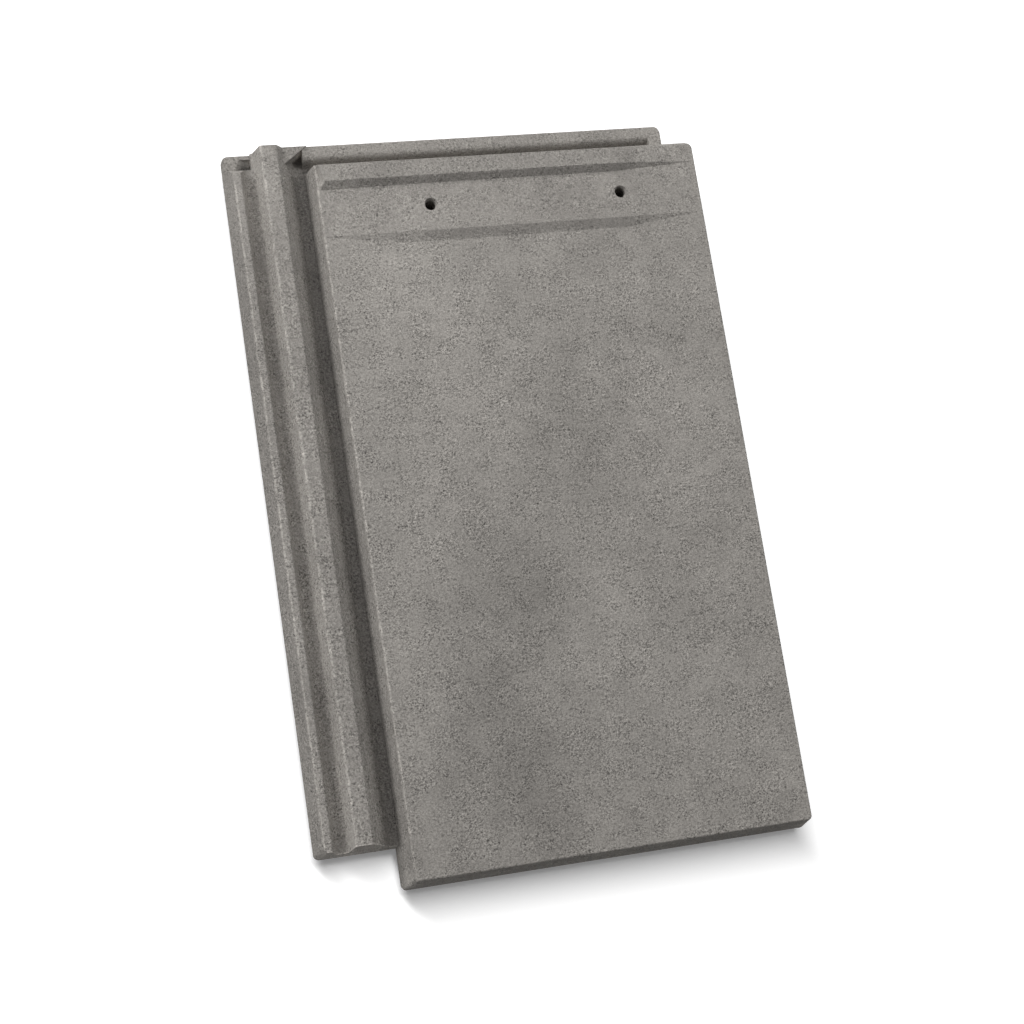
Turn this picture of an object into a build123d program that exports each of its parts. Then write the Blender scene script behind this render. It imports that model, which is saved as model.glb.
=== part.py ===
from build123d import *
import os

# Flat interlocking verge tile of pressed concrete, lying face up.
# X runs across the tile with the side lock at -X, Y runs up the roof slope with the head at +Y,
# Z is up. The origin is under the middle of the outline, level with the feet of the two nibs.

# overall
overall_width = 278.7
overall_length = 420.0
nib_drop = 14.0

# heights above the underside of the plate
mould_line = 4.0
face_height = 28.0
nail_band_height = 29.8
nail_band_back_height = 28.3
head_rib_height = 31.2
shelf_height = 16.75
dam_height = 17.2
head_channel_height = 8.5
outer_rib_height = 17.0
channel_height = 8.8
channel_side_height = 10.4
main_rib_height = 21.8
groove_height = 8.5
corner_height = 7.4
pocket_height = 3.4
pocket_head_height = 5.9

# lengthways places, measured from the tail edge
plate_head = 404.0
plate_head_foot = 405.6
shelf_root = 400.0
tail_slope = 3.7
lock_tail = 22.8
lock_tail_slope = 3.8
band_foot = 354.6
band_edge = 360.4
band_foot_end = 360.8
head_rib_foot = 388.3
head_rib_edge = 393.1
head_rib_foot_verge = 391.9
head_inset = 1.4
outer_rib_end = 406.4
channel_end = 410.0
corner_start = 411.0
shelf_lip = 411.7
shelf_lip_foot = 409.6
pocket_start = 411.4
pocket_end = 417.6
faded_step = 0.5

# places across the tile, measured from the outer side of the lock
outer_rib_left = 4.6
outer_rib_right = 9.1
channel_left = 12.3
channel_right = 17.9
main_rib_left = 20.9
main_rib_right = 30.2
groove_left = 41.0
plate_left_foot = 45.3
plate_left_top = 49.0
lock_root = 50.3
plate_right_top = 274.9
shelf_left = 45.4
shelf_right = 260.9
shelf_end_wall = 8.0
pocket_left = 7.4
pocket_head_left = 9.8
flank_inset = 0.4
foot_inset = 0.8
dam_line = [(24.0, 399.6), (51.0, 419.2)]
dam_overrun = 5.0
dam_draft = 8

# the outer rib's section runs on inside the main rib, down from these places
rib_join = 18.9
rib_join_foot = 20.9
rib_join_height = 14.4

# roundings of corners seen from above, and of the top arrises
head_corner = 3.5
tail_corner = 2.5
tail_corner_at_lock = 2.0
lock_tail_corner = 3.0
shelf_corner = 4.5
lock_corner = 4.0
nib_corner = 2.0
arris = 0.9

# roundings of the lock sections
rib_rounding = 1.5
main_rib_rounding = 1.2
groove_rounding = 3.5
channel_rounding = 3.0
channel_side_rounding = 2.0
corner_rounding = 0.8
lip_rounding = 3.5
shelf_rounding = 1.0

# how far the cuts reach past the surfaces that they cut, and how wide around a corner edges are taken
clear = 1.0
near = 5.0

# sideways reach of the two raised fields of the head, and where they begin to die out to the verge
field_left = 50.4
nail_band_left = 96.0
head_rib_left = 53.4
head_rib_skew = 2.8
fade_start = 225.0
fade_end = 271.0
fade_height = 0.2

# nail holes
nail_left = 112.4
nail_spacing = 113.6
nail_y = 376.2
nail_bore = 6.0
nail_mouth = 8.2
nail_mouth_angle = 40

# hollows of the underside
hollow_count = 3
hollow_left = 60.0
hollow_right = 262.0
hollow_tail = 26.0
hollow_head = 340.0
hollow_depth = 13.0
stiffener = 10.0
hollow_corner = 8.0
draft = 12

# nibs
nib_width = 34.0
nib_thickness = 11.0
nib_y = 400.0
nib_spacing = 120.0
nib_middle = 160.0
nib_flare = 6

under = nib_drop
left = -overall_width / 2
tail = -overall_length / 2


def rounded_face(points):
    """Adds the closed outline of (x, y, radius) corners, each rounded by its radius."""
    Polygon(*[(x, y) for x, y, radius in points], align=None)
    for x, y, radius in points:
        if radius > 0:
            fillet(vertices().sort_by_distance((x, y, 0))[0], radius)


def across(x, h, radius=0.0):
    """Corner of a section across the tile: x from the lock's side, h above the underside."""
    return (left + x, under + h, radius)


def along(y, h, radius=0.0):
    """Corner of a section along the tile: y from the tail edge, h above the underside."""
    return (tail + y, under + h, radius)


def upright_edges(x, y):
    """Upright and steep edges at one corner of the plate."""
    steep = edges().filter_by(lambda edge: abs(edge.tangent_at(0.5).Z) > 0.9)
    beside = steep.filter_by(lambda edge: abs(edge.center().X - left - x) < near)
    return beside.filter_by(lambda edge: abs(edge.center().Y - tail - y) < near)


def field_outline(left_front, left_back, front, back):
    """Outline of a raised field seen from above, from its left end to where it begins to die out."""
    corners = [(left_front, front), (fade_start, front), (fade_start, back), (left_back, back)]
    Polygon(*[(left + x, tail + y) for x, y in corners], align=None)


def field_side(foot, edge, height, back, back_height):
    """Side view of a raised field, from the foot of its step to where it ends."""
    corners = [(foot, face_height), (edge, height), (back, back_height), (back, face_height)]
    Polygon(*[(tail + y, under + h) for y, h in corners], align=None)


def rib_side(foot, edge, height):
    """Side view of the head rib, which ends with the head of the plate."""
    corners = [(foot, face_height), (edge, height), (plate_head - head_inset, height), (plate_head, face_height)]
    Polygon(*[(tail + y, under + h) for y, h in corners], align=None)


def corner_cut(x, y, reach):
    """Outline of what is cut off to round an outer corner: a square around it less a circle inside it."""
    with Locations((left + x, tail + y)):
        Rectangle(2 * reach, 2 * reach)
    with Locations((left + x + reach, tail + y + reach)):
        Circle(reach, mode=Mode.SUBTRACT)


flank = (main_rib_left - channel_right) / (main_rib_height - channel_side_height)
flank_foot = channel_right - flank * (channel_side_height - pocket_height)

with BuildPart() as verge_tile:
    # the plate with its sloped tail and drafted head, drawn in side view
    with BuildSketch(Plane.YZ.offset(left + plate_left_foot)):
        rounded_face([
            along(foot_inset, 0),
            along(0, mould_line),
            along(tail_slope, face_height),
            along(plate_head, face_height),
            along(plate_head_foot, 0),
        ])
    extrude(amount=overall_width - plate_left_foot)
    # both sides of the plate, drafted above the mould line
    with BuildSketch(Plane.XZ.offset(tail)):
        rounded_face([
            across(plate_left_foot, 0),
            across(plate_left_foot, mould_line),
            across(plate_left_top, face_height),
            across(plate_right_top, face_height),
            across(overall_width, mould_line),
            across(overall_width - foot_inset, 0),
        ])
    extrude(amount=overall_length, mode=Mode.INTERSECT)
    # corners of the plate seen from above
    fillet(upright_edges(overall_width, plate_head), head_corner)
    fillet(upright_edges(overall_width, 0), tail_corner)
    fillet(upright_edges(plate_left_foot, 0), tail_corner_at_lock)
    # long top arrises and the tail arris
    fillet(faces().sort_by(Axis.Z)[-1].edges().sort_by(Axis.Y)[:-2], arris)

    # nail band: a low step that dies out towards both sides, with its face falling back to the head
    for place in (field_left, fade_end):
        with BuildSketch(Plane.YZ.offset(left + place)):
            field_side(band_foot_end, band_foot_end + faded_step, face_height + fade_height, head_rib_edge,
                       face_height + fade_height)
        with BuildSketch(Plane.YZ.offset(left + (nail_band_left if place == field_left else fade_start))):
            field_side(band_foot, band_edge, nail_band_height, head_rib_edge, nail_band_back_height)
        loft(ruled=True)
    with BuildSketch(Plane.YZ.offset(left + nail_band_left)):
        field_side(band_foot, band_edge, nail_band_height, head_rib_edge, nail_band_back_height)
    extrude(amount=fade_start - nail_band_left)
    # head rib, higher and steeper, with an end wall at the lock
    with BuildSketch(Plane.XY.offset(under + face_height)):
        field_outline(field_left, field_left, head_rib_foot, plate_head)
    with BuildSketch(Plane.XY.offset(under + head_rib_height)):
        field_outline(head_rib_left, head_rib_left - head_rib_skew, head_rib_edge, plate_head - head_inset)
    loft(ruled=True)
    with BuildSketch(Plane.YZ.offset(left + fade_start)):
        rib_side(head_rib_foot, head_rib_edge, head_rib_height)
    with BuildSketch(Plane.YZ.offset(left + fade_end)):
        rib_side(head_rib_foot_verge, head_rib_foot_verge + faded_step, face_height + 2 * fade_height)
    loft(ruled=True)

    # side lock: main rib and the deep groove beside the plate, up to the head
    with BuildSketch(Plane.XZ.offset(tail)):
        rounded_face([
            across(flank_foot - flank * pocket_height, 0),
            across(main_rib_left, main_rib_height, main_rib_rounding),
            across(main_rib_right, main_rib_height, rib_rounding),
            across(groove_left, groove_height, groove_rounding),
            across(lock_root, groove_height),
            across(lock_root, 0),
        ])
    extrude(amount=overall_length - lock_tail)
    # side lock: outer rib and channel, ending short of the head
    with BuildSketch(Plane.XZ.offset(tail)):
        rounded_face([
            across(foot_inset, 0),
            across(0, mould_line, rib_rounding),
            across(outer_rib_left, outer_rib_height, rib_rounding),
            across(outer_rib_right, outer_rib_height, rib_rounding),
            across(channel_left, channel_height, channel_rounding),
            across(channel_right, channel_side_height, channel_side_rounding),
            across(rib_join, rib_join_height),
            across(rib_join_foot, 0),
        ])
    extrude(amount=overall_length - lock_tail)
    # head end of the outer rib and channel, cut back over the low corner
    with BuildSketch(Plane.YZ.offset(left - clear)):
        rounded_face([
            along(outer_rib_end, face_height),
            along(outer_rib_end, outer_rib_height),
            along(channel_end, channel_side_height),
            along(corner_start, corner_height, corner_rounding),
            along(overall_length + clear, corner_height),
            along(overall_length + clear, face_height),
        ])
    extrude(amount=clear + flank_foot + flank_inset, mode=Mode.SUBTRACT)

    # scoop in the low corner, deepening towards the main rib and the channel
    with BuildSketch(Plane.XZ.offset(-(tail + pocket_start))):
        rounded_face([
            across(pocket_left, corner_height),
            across(pocket_left, corner_height + clear),
            across(flank_foot + flank_inset, corner_height + clear),
            across(flank_foot + flank_inset, pocket_height),
        ])
    with BuildSketch(Plane.XZ.offset(-(tail + pocket_end))):
        rounded_face([
            across(pocket_head_left, corner_height),
            across(pocket_head_left, corner_height + clear),
            across(flank_foot + flank_inset, corner_height + clear),
            across(flank_foot + flank_inset, pocket_head_height),
        ])
    loft(ruled=True, mode=Mode.SUBTRACT)

    # head lock shelf with its lip and the channel behind the head of the plate
    with BuildSketch(Plane.YZ.offset(left + shelf_left)):
        rounded_face([
            along(shelf_root, 0),
            along(shelf_root, head_channel_height),
            along(shelf_lip_foot, head_channel_height, rib_rounding),
            along(shelf_lip, shelf_height, lip_rounding),
            along(overall_length, shelf_height, shelf_rounding),
            along(overall_length, 0),
        ])
    extrude(amount=shelf_right - shelf_left)
    # wall that closes the channel beside the verge
    with BuildSketch(Plane.YZ.offset(left + shelf_right - shelf_end_wall)):
        rounded_face([
            along(shelf_root, 0),
            along(shelf_root, shelf_height),
            along(overall_length, shelf_height, shelf_rounding),
            along(overall_length, 0),
        ])
    extrude(amount=shelf_end_wall)
    # dam across the corner between the main rib and the shelf
    with BuildSketch(Plane.XY.offset(under)):
        beyond = [(x, overall_length + dam_overrun) for x, y in reversed(dam_line)]
        Polygon(*[(left + x, tail + y) for x, y in dam_line + beyond], align=None)
    extrude(amount=dam_height, taper=dam_draft)

    # head edge and corners of the locks seen from above
    with BuildSketch(Plane.XY):
        rounded_face([
            (left, tail, 0),
            (left + overall_width, tail, 0),
            (left + overall_width, tail + plate_head_foot, 0),
            (left + shelf_right, tail + plate_head_foot, 0),
            (left + shelf_right, tail + overall_length, shelf_corner),
            (left, tail + overall_length, lock_corner),
        ])
    extrude(amount=under + head_rib_height + clear, mode=Mode.INTERSECT)

    # tail end of the lock, sloped like the tail of the plate
    with BuildSketch(Plane.YZ.offset(left - clear)):
        rounded_face([
            along(lock_tail - clear, mould_line),
            along(lock_tail, mould_line),
            along(lock_tail + lock_tail_slope, main_rib_height),
            along(lock_tail + lock_tail_slope, main_rib_height + clear),
            along(lock_tail - clear, main_rib_height + clear),
        ])
    extrude(amount=plate_left_foot + clear, mode=Mode.SUBTRACT)
    # its outer corner, rounded seen from above and leaning with both sides
    rise = outer_rib_height + clear - mould_line
    inward = outer_rib_left * rise / (outer_rib_height - mould_line)
    upward = lock_tail_slope * rise / (main_rib_height - mould_line)
    with BuildSketch(Plane.XY.offset(under)):
        corner_cut(foot_inset, lock_tail, lock_tail_corner)
    with BuildSketch(Plane.XY.offset(under + mould_line)):
        corner_cut(0, lock_tail, lock_tail_corner)
    with BuildSketch(Plane.XY.offset(under + mould_line + rise)):
        corner_cut(inward, lock_tail + upward, lock_tail_corner)
    loft(ruled=True, mode=Mode.SUBTRACT)

    # hollows of the underside between stiffeners
    hollow_pitch = (hollow_right - hollow_left + stiffener) / hollow_count
    with BuildSketch(Plane.XY.offset(under)):
        with Locations((left + (hollow_left + hollow_right) / 2, tail + (hollow_tail + hollow_head) / 2)):
            with GridLocations(hollow_pitch, 1, hollow_count, 1):
                RectangleRounded(hollow_pitch - stiffener, hollow_head - hollow_tail, hollow_corner)
    extrude(amount=hollow_depth, taper=draft, mode=Mode.SUBTRACT)

    # hanging nibs, wider at the root
    with BuildSketch(Plane.XY):
        with Locations((left + nib_middle, tail + nib_y)):
            with GridLocations(nib_spacing, 1, 2, 1):
                RectangleRounded(nib_width, nib_thickness, nib_corner)
    extrude(amount=nib_drop, taper=-nib_flare)

    # nail holes with a worn, conical mouth
    with Locations((left + nail_left + nail_spacing / 2, tail + nail_y, under + nail_band_height)):
        with GridLocations(nail_spacing, 1, 2, 1):
            CounterSinkHole(nail_bore / 2, nail_mouth / 2, counter_sink_angle=nail_mouth_angle)

verge_tile.part.label = "verge_tile"
os.makedirs("parts", exist_ok=True)
export_step(verge_tile.part, "parts/verge_tile.step")
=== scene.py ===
import bpy
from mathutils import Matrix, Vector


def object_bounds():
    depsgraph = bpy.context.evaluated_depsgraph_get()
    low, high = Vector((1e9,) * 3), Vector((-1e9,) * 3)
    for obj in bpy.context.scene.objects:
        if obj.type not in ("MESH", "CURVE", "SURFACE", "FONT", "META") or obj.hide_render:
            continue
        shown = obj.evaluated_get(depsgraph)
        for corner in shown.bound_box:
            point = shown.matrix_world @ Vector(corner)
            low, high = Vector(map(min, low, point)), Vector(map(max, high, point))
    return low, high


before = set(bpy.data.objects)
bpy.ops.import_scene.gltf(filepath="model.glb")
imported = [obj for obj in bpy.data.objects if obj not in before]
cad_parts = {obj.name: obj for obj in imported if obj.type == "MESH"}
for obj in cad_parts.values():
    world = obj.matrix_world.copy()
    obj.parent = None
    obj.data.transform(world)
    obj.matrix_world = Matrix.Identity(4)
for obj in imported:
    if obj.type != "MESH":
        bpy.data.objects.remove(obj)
first_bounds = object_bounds()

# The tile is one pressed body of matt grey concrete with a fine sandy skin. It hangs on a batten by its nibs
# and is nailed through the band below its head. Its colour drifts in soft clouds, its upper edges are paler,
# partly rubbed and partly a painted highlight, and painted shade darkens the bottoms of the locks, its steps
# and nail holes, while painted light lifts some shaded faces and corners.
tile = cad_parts["verge_tile"]
left, tail = first_bounds[0][:2]
head = first_bounds[1][1]
concrete_colour = (0.304, 0.287, 0.266, 1)
concrete = bpy.data.materials.new("sandy_concrete")
concrete.use_nodes = True
nt = concrete.node_tree
nt.nodes.clear()
nodes_in_row = 12
node_width = 220
node_height = 320


def node(kind, **values):
    """A shader node with its settings or input values, laid out in rows on the sheet."""
    row, column = divmod(len(nt.nodes), nodes_in_row)
    made = nt.nodes.new(kind)
    made.location = (column * node_width, -row * node_height)
    for key, value in values.items():
        if key in made.inputs:
            made.inputs[key].default_value = value
        else:
            setattr(made, key, value)
    return made


def link(made, out, receiver, into):
    """Join an output of one node to an input of another."""
    nt.links.new(made.outputs[out], receiver.inputs[into])


def eased(value, low, high, start, end, ease="SMOOTHSTEP"):
    """Remap of a socket from low..high to start..end, flat beyond both."""
    made = node("ShaderNodeMapRange", interpolation_type=ease)
    for name, number in (("From Min", low), ("From Max", high), ("To Min", start), ("To Max", end)):
        made.inputs[name].default_value = number
    nt.links.new(value, made.inputs["Value"])
    return made.outputs["Result"]


def maths(kind, first, second):
    """Arithmetic on two sockets, or on a socket and a number."""
    made = node("ShaderNodeMath", operation=kind)
    nt.links.new(first, made.inputs[0])
    if isinstance(second, float):
        made.inputs[1].default_value = second
    else:
        nt.links.new(second, made.inputs[1])
    return made.outputs["Value"]


coords = node("ShaderNodeTexCoord")
point = coords.outputs["Object"]
apart = node("ShaderNodeSeparateXYZ")
nt.links.new(point, apart.inputs[0])
across, along, up = (apart.outputs[axis] for axis in "XYZ")


def noise(scale, detail, roughness, offset=0.0):
    """Noise in the tile's own metres, moved along by an offset."""
    shift = node("ShaderNodeVectorMath", operation="ADD")
    nt.links.new(point, shift.inputs[0])
    shift.inputs[1].default_value = (offset, 2.0 * offset, 0.5 * offset)
    made = node("ShaderNodeTexNoise", Scale=scale, Detail=detail, Roughness=roughness)
    nt.links.new(shift.outputs["Vector"], made.inputs["Vector"])
    return made.outputs["Fac"]


def drift(value, spread, depth, ease="SMOOTHSTEP"):
    """A noise about one half, turned into a rise and fall of a depth about nought."""
    return eased(value, 0.5 - spread, 0.5 + spread, -depth, depth, ease)


def spot(centre, reach):
    """One in the middle of a soft ball around a point of the tile, falling to nought at its reach."""
    away = node("ShaderNodeVectorMath", operation="DISTANCE")
    nt.links.new(point, away.inputs[0])
    away.inputs[1].default_value = centre
    return eased(away.outputs["Value"], 0.0, reach, 1.0, 0.0)


def stretch(axis, first, last, soft, strength):
    """A stretch between two places on an axis, fading over a soft width at both ends."""
    begins = eased(axis, first - soft, first, 0.0, strength)
    ends = eased(axis, last, last + soft, 1.0, 0.0)
    return maths("MULTIPLY", begins, ends)


# lighter and darker concrete in three sizes: soft clouds, blotches and mottle
clouds = noise(scale=11.0, detail=4.0, roughness=0.55, offset=1.3)
blotches = noise(scale=34.0, detail=5.0, roughness=0.6, offset=4.1)
mottle = noise(scale=85.0, detail=3.0, roughness=0.6, offset=6.2)
level = maths("ADD", drift(clouds, spread=0.2, depth=0.05), 1.0)
level = maths("ADD", level, drift(blotches, spread=0.25, depth=0.07))
level = maths("ADD", level, drift(mottle, spread=0.2, depth=0.045))
# paler and darker patches of the face, mostly paler towards the head and darker towards the tail:
# place in X and Y, reach, and how much paler or darker
face_height = 0.042
for x, y, reach, strength in ((-0.060, 0.120, 0.070, 0.17), (-0.035, 0.040, 0.055, 0.07),
                              (0.095, 0.030, 0.055, 0.11), (-0.075, -0.085, 0.050, 0.08),
                              (0.045, -0.075, 0.030, 0.05), (0.035, 0.015, 0.050, -0.07),
                              (-0.015, -0.060, 0.065, -0.18), (-0.040, -0.105, 0.030, -0.15),
                              (-0.025, -0.150, 0.060, -0.20), (0.080, -0.080, 0.035, -0.12),
                              (-0.010, -0.195, 0.030, -0.14), (-0.045, -0.185, 0.080, -0.10),
                              (0.020, -0.150, 0.060, -0.06)):
    level = maths("ADD", level, maths("MULTIPLY", spot((x, y, face_height), reach), strength))
# small spots: a pale scuff on the face; painted light on the tail's two corners, on the dam's wall and foot,
# on the groove before them and on the head side of the scoop, which lie in shade; and painted shade in the
# two nail holes
for centre, reach, strength in (((-0.0542, 0.1368, 0.0420), 0.0070, 0.10),
                                ((0.1375, -0.2085, 0.0300), 0.0140, 0.50),
                                ((-0.0925, -0.2075, 0.0300), 0.0140, 0.30),
                                ((-0.0950, 0.2065, 0.0260), 0.0055, 2.20),
                                ((-0.0980, 0.2030, 0.0260), 0.0050, 0.40),
                                ((-0.0960, 0.1985, 0.0225), 0.0090, 0.50),
                                ((-0.1243, 0.2068, 0.0180), 0.0040, 1.20),
                                ((-0.0270, 0.1662, 0.0385), 0.0052, -0.80),
                                ((0.0867, 0.1662, 0.0385), 0.0052, -0.80)):
    level = maths("ADD", level, maths("MULTIPLY", spot(centre, reach), strength))
# sandy skin of coarse and fine grains, in rougher and smoother patches and gentler near the head
smooth_share = 0.55
rough_share = 1.35
head_share = 0.78
calming = head - 0.12
calm = head - 0.05
coarse = noise(scale=620.0, detail=2.0, roughness=0.6)
fine = noise(scale=1100.0, detail=2.0, roughness=0.7, offset=2.2)
rough = noise(scale=110.0, detail=3.0, roughness=0.6, offset=8.4)
coarse = drift(coarse, spread=0.2, depth=0.27, ease="LINEAR")
fine = drift(fine, spread=0.25, depth=0.56, ease="LINEAR")
skin = maths("ADD", coarse, fine)
skin = maths("MULTIPLY", skin, eased(rough, 0.35, 0.65, smooth_share, rough_share))
skin = maths("MULTIPLY", skin, eased(along, calming, calm, 1.0, head_share))
skin = maths("ADD", skin, 1.0)
# small dark pits
pit_shade = 0.7
pits = node("ShaderNodeTexVoronoi", Scale=260.0)
nt.links.new(point, pits.inputs["Vector"])
skin = maths("MULTIPLY", skin, eased(pits.outputs["Distance"], 0.10, 0.22, pit_shade, 1.0))
# painted shade at the bottom of the groove beside the plate, up to its tail end
groove_shade_depth = -0.42
groove_floor = 0.0215
groove_shade_top = 0.0350
from_rib = eased(across, left + 0.0328, left + 0.0433, 0.0, 1.0)
to_plate = eased(across, left + 0.0493, left + 0.0503, 1.0, 0.0)
groove_shade = maths("MULTIPLY", from_rib, to_plate)
groove_shade = maths("MULTIPLY", groove_shade, eased(up, groove_floor, groove_shade_top, groove_shade_depth, 0.0))
groove_shade = maths("MULTIPLY", groove_shade, eased(along, tail + 0.022, tail + 0.024, 0.0, 1.0))
# painted shade at the bottom of the scoop in the low corner
scoop_floor = (-0.1262, 0.2018, 0.0180)
scoop_shade_depth = -0.62
scoop_shade = maths("MULTIPLY", spot(scoop_floor, reach=0.0080), scoop_shade_depth)
# painted shade on the outer side of the lock and painted light on the sloped side of the main rib
outer_side_shade = stretch(across, left - 0.0007, left + 0.0037, soft=0.0008, strength=-0.11)
rib_flank_light = stretch(across, left + 0.0181, left + 0.0204, soft=0.0008, strength=0.18)
side_light_and_shade = maths("ADD", outer_side_shade, rib_flank_light)
# painted light on the sloping tail end of the lock, picked out by its distance in Y from that slope
end_foot = tail + 0.01896
end_lean = 0.2135
beyond = maths("SUBTRACT", maths("SUBTRACT", along, maths("MULTIPLY", up, end_lean)), end_foot)
lit_lock_width = stretch(across, left - 0.0007, left + 0.0448, soft=0.0003, strength=0.35)
lock_end_light = maths("MULTIPLY", eased(beyond, 0.0004, 0.0010, 1.0, 0.0), lit_lock_width)
side_light_and_shade = maths("ADD", side_light_and_shade, lock_end_light)
# painted shade along the step of the nail band and along that of the head rib, which face the tail: its foot
# and top below the head, where it begins and ends in X, and how dark it is
step_soft = 0.002
step_shade_soft = 0.030
for foot, top, first, last, strength in ((0.0640, 0.0605, -0.025, 0.085, -0.14),
                                         (0.0315, 0.0285, -0.050, 0.075, -0.16)):
    step = stretch(along, head - foot, head - top, step_soft, 1.0)
    step_shade = stretch(across, first, last, step_shade_soft, strength)
    side_light_and_shade = maths("ADD", side_light_and_shade, maths("MULTIPLY", step, step_shade))
shade = maths("MULTIPLY", level, skin)
# the painted shade and light of the groove, the scoop and the sides
for change in (groove_shade, scoop_shade, side_light_and_shade):
    shade = maths("MULTIPLY", shade, maths("ADD", change, 1.0))
# arrises of the outer rib, the main rib and the plate, paler here and there, partly rubbed and partly a
# painted
# highlight: place from the left side, half width, and the height from which they are paler
highlight_and_wear_strength = 0.48
highlight_and_wear = noise(scale=240.0, detail=4.0, roughness=0.65, offset=3.3)
highlight_and_wear = eased(highlight_and_wear, 0.35, 0.65, 0.0, highlight_and_wear_strength)
for place, half, height in ((0.0050, 0.0007, 0.0295), (0.0215, 0.0011, 0.0345), (0.0492, 0.0011, 0.0405)):
    away = maths("ABSOLUTE", maths("SUBTRACT", across, left + place), 0.0)
    line = eased(away, 0.2 * half, half, 1.0, 0.0)
    arris = maths("MULTIPLY", line, eased(up, height - 0.001, height, 0.0, 1.0))
    shade = maths("MULTIPLY", shade, maths("ADD", maths("MULTIPLY", arris, highlight_and_wear), 1.0))
tinted = node("ShaderNodeMix", data_type="RGBA", blend_type="MULTIPLY")
tinted.inputs[0].default_value = 1.0
tinted.inputs[6].default_value = concrete_colour
nt.links.new(shade, tinted.inputs[7])
bump = node("ShaderNodeBump", Strength=0.7, Distance=0.0004)
nt.links.new(skin, bump.inputs["Height"])
shader = node("ShaderNodeBsdfPrincipled", Roughness=0.92)
shader.inputs["Specular IOR Level"].default_value = 0.2
link(tinted, 2, shader, "Base Color")
link(bump, "Normal", shader, "Normal")
output = node("ShaderNodeOutputMaterial")
link(shader, "BSDF", output, "Surface")
tile.data.materials.clear()
tile.data.materials.append(concrete)

# White studio floor, a painted sheet on which the tile lies. It keeps the soft shadow beyond the tile's tail
# and is otherwise plain white, for which it gives off a little light of its own to the camera alone.
floor_half = 8
floor_corners = [(-floor_half, -floor_half, 0), (floor_half, -floor_half, 0),
                 (floor_half, floor_half, 0), (-floor_half, floor_half, 0)]
floor_mesh = bpy.data.meshes.new("studio_floor")
floor_mesh.from_pydata(floor_corners, [], [(0, 1, 2, 3)])
floor = bpy.data.objects.new("studio_floor", floor_mesh)
bpy.context.collection.objects.link(floor)
white = bpy.data.materials.new("studio_white")
white.use_nodes = True
nt = white.node_tree
nt.nodes.clear()
seen = node("ShaderNodeLightPath")
to_camera = seen.outputs["Is Camera Ray"]
grey_to_tile = (0.25, 0.25, 0.25, 1)
white_to_camera = (0.98, 0.98, 0.98, 1)
tone = node("ShaderNodeMix", data_type="RGBA")
tone.inputs[6].default_value = grey_to_tile
tone.inputs[7].default_value = white_to_camera
nt.links.new(to_camera, tone.inputs[0])
paint = node("ShaderNodeBsdfDiffuse")
link(tone, 2, paint, "Color")
# the glow grows away from the tile, where the light for the floor no longer reaches
near_glow = 0.18
far_glow = 1.0
glow_begins = 0.40
glow_full = 1.60
floor_coords = node("ShaderNodeTexCoord")
distance = node("ShaderNodeVectorMath", operation="LENGTH")
link(floor_coords, "Object", distance, 0)
glow = node("ShaderNodeEmission")
growing = eased(distance.outputs["Value"], glow_begins, glow_full, near_glow, far_glow)
nt.links.new(maths("MULTIPLY", growing, to_camera), glow.inputs["Strength"])
both = node("ShaderNodeAddShader")
link(paint, "BSDF", both, 0)
link(glow, "Emission", both, 1)
output = node("ShaderNodeOutputMaterial")
link(both, "Shader", output, "Surface")
floor_mesh.materials.append(white)

# The studio around the tile, which gives a faint even light from all sides. The camera sees it as plain
# white.
world = bpy.data.worlds.new("studio")
bpy.context.scene.world = world
world.use_nodes = True
nt = world.node_tree
nt.nodes.clear()
sky = node("ShaderNodeBackground", Color=(1, 1, 1, 1), Strength=0.08)
backdrop = node("ShaderNodeBackground", Color=(1, 1, 1, 1), Strength=1.0)
rays = node("ShaderNodeLightPath")
choose = node("ShaderNodeMixShader")
link(rays, "Is Camera Ray", choose, 0)
link(sky, "Background", choose, 1)
link(backdrop, "Background", choose, 2)
output = node("ShaderNodeOutputWorld")
link(choose, "Shader", output, "Surface")

# Soft boxes around the tile: one off the head's left corner and one along the lock, which model the ribs,
# one at the head, which shades the steps of the nail band, and fainter ones at the verge and at the tail.


def shine(name, energy, position, size, receiver):
    """A soft box in watts and metres, turned to the tile's middle, that lights one object."""
    data = bpy.data.lights.new(name, "AREA")
    data.energy = energy
    data.shape = "RECTANGLE"
    data.size, data.size_y = size
    lamp = bpy.data.objects.new(name, data)
    lamp.location = position
    aim = -lamp.location
    lamp.rotation_euler = aim.to_track_quat("-Z", "Y").to_euler()
    bpy.context.collection.objects.link(lamp)
    lit = bpy.data.collections.new(name + "_receivers")
    lit.objects.link(receiver)
    lamp.light_linking.receiver_collection = lit


shine("corner_box", 27.0, (-1.6, 1.6, 1.2), (1.0, 1.0), tile)
shine("lock_box", 20.0, (-2.2, 0.0, 1.3), (1.0, 1.0), tile)
shine("head_box", 27.0, (0.0, 1.8, 1.65), (1.0, 1.3), tile)
shine("verge_box", 14.0, (1.5, 0.2, 2.0), (1.0, 1.0), tile)
shine("tail_box", 3.0, (-0.3, -1.9, 0.4), (1.0, 0.6), tile)
# Light for the floor, from the lock side of the head, so that the shadow falls beyond the tail.
shine("floor_box", 60.0, (-0.45, 0.65, 2.0), (0.4, 1.65), floor)

# The camera stands high up beyond the lock side, level with the tail, and looks down on the face. Its
# place, turn and lens are fitted to the edges of the tile.
camera_data = bpy.data.cameras.new("camera")
camera_data.sensor_width = 36
camera_data.lens = 66.961
camera_data.shift_x = -0.0002
camera_data.shift_y = 0.0001
camera = bpy.data.objects.new("camera", camera_data)
camera.location = (-0.27597, -0.19889, 1.04572)
camera.rotation_euler = (0.213246, -0.231046, -0.15756)
bpy.context.collection.objects.link(camera)
bpy.context.scene.camera = camera
bpy.context.scene.view_settings.view_transform = "Standard"
